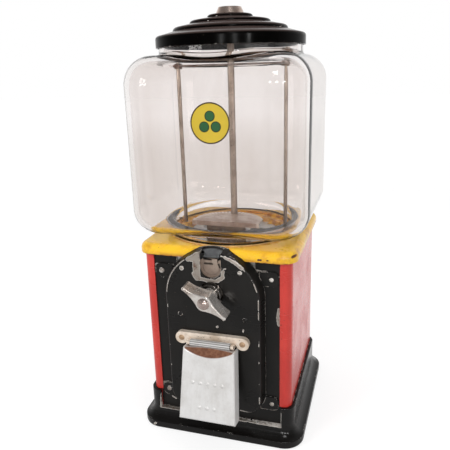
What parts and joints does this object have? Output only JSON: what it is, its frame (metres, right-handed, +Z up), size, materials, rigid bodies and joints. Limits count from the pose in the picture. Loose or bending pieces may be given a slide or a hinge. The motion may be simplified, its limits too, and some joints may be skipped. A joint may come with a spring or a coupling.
{
  "type": "gumball machine",
  "caption": "Countertop coin-operated gumball machine: square glass globe on a yellow deck, red and black cabinet, wing handle, hinged delivery flap and stepped lid with a lock.",
  "frame": {"origin": "centre of the underside of the base plate, on the axis of the stand hole", "axes": "+Z up along the globe's axis, front with the handle and flap towards -Y, +X to the right of a person who faces the front"},
  "size_m": [0.165, 0.1925, 0.4],
  "materials": {
    "black_enamel": "semi-gloss black enamel with chips to bare metal",
    "red_enamel": "gloss red enamel",
    "yellow_enamel": "gloss yellow enamel with small rust specks",
    "black_lid": "gloss black enamel",
    "zinc_steel": "dull zinc plate",
    "rod_steel": "aged bright steel",
    "rusty_steel": "rusted steel",
    "worn_chrome": "worn chrome plate",
    "plated_flap": "worn bright plate with scratches",
    "aged_nickel": "aged nickel plate",
    "aged_lock_steel": "aged steel",
    "copper_brown": "tarnished coin carrier",
    "cast_aluminium": "cast aluminium",
    "brass_parts": "plain brass",
    "tinplate": "aged tinplate",
    "bristle": "dark bristle",
    "clear_glass": "clear pressed glass",
    "brown_rubber": "aged brown rubber"
  },
  "bodies": {
    "cabinet": {"base_skirt": "black_enamel", "base_plate": "zinc_steel", "base_screws": "zinc_steel", "cash_tray": "tinplate", "cabinet_shell": "red_enamel", "front_panel": "black_enamel", "mech_cover": "black_enamel", "panel_rivets": "black_enamel", "cover_rivets": "black_enamel", "deck": "yellow_enamel", "hopper_bowl": "yellow_enamel", "hopper_bridge": "zinc_steel", "centre_post": "zinc_steel", "centre_rod": "rod_steel", "bridge_nut": "zinc_steel", "side_rod_left": "rod_steel", "side_rod_right": "rod_steel", "crossbar": "rusty_steel", "side_rod_nuts": "rusty_steel", "drop_plate": "zinc_steel", "thrust_washer": "brass_parts", "gum_guard": "tinplate", "guard_nut": "rod_steel", "sweep_brush": "bristle", "drop_tube": "zinc_steel", "delivery_chute": "zinc_steel", "globe": "clear_glass", "globe_gasket": "brown_rubber", "lid_gasket": "brown_rubber", "mech_plate": "zinc_steel", "mech_posts": "zinc_steel", "shaft_bush": "brass_parts", "shaft_collar": "worn_chrome", "coin_entry": "aged_nickel", "pawl_pin": "zinc_steel", "pawl_spring": "zinc_steel", "hinge_bracket": "aged_nickel", "hinge_pin": "rod_steel", "bracket_screws": "rusty_steel"},
    "handle_shaft": {"coin_shaft": "rod_steel", "coin_carrier": "copper_brown", "ratchet_wheel": "zinc_steel", "pinion": "brass_parts", "handle": "worn_chrome", "handle_cap": "worn_chrome"},
    "dispensing_wheel": {"gum_wheel": "cast_aluminium", "crown_gear": "cast_aluminium"},
    "pawl": {"pawl": "zinc_steel"},
    "flap": {"flap": "plated_flap"},
    "lid": {"lid": "black_lid", "lock_collar": "aged_lock_steel", "lock_nut": "aged_lock_steel"},
    "lock": {"lock_plug": "aged_lock_steel"}
  },
  "joints": [
    {"name": "handle_turn", "type": "hinge", "parent": "cabinet", "child": "handle_shaft", "pos_m": [0, -0.098, 0.155], "axis": [0, 1, 0], "continuous": true},
    {"name": "wheel_turn", "type": "hinge", "parent": "cabinet", "child": "dispensing_wheel", "pos_m": [0, 0, 0.18], "axis": [0, 0, 1], "continuous": true},
    {"name": "pawl_swing", "type": "hinge", "parent": "cabinet", "child": "pawl", "pos_m": [0.027, -0.0747, 0.163], "axis": [0, 1, 0], "range_deg": [0, 12], "stiffness_Nm_per_rad": 0.01, "springref_deg": -11.46},
    {"name": "flap_swing", "type": "hinge", "parent": "cabinet", "child": "flap", "pos_m": [0, -0.0912, 0.1084], "axis": [-1, 0, 0], "range_deg": [0, 70]},
    {"name": "lid_lift", "type": "slide", "parent": "cabinet", "child": "lid", "axis": [0, 0, 1], "range_m": [0, 0.07]},
    {"name": "lock_turn", "type": "hinge", "parent": "lid", "child": "lock", "pos_m": [0, 0, 0.39], "axis": [0, 0, 1], "range_deg": [0, 540]}
  ],
  "couplings": [
    {"joint": "wheel_turn", "follows": "handle_turn", "ratio": 0.16667}
  ]
}
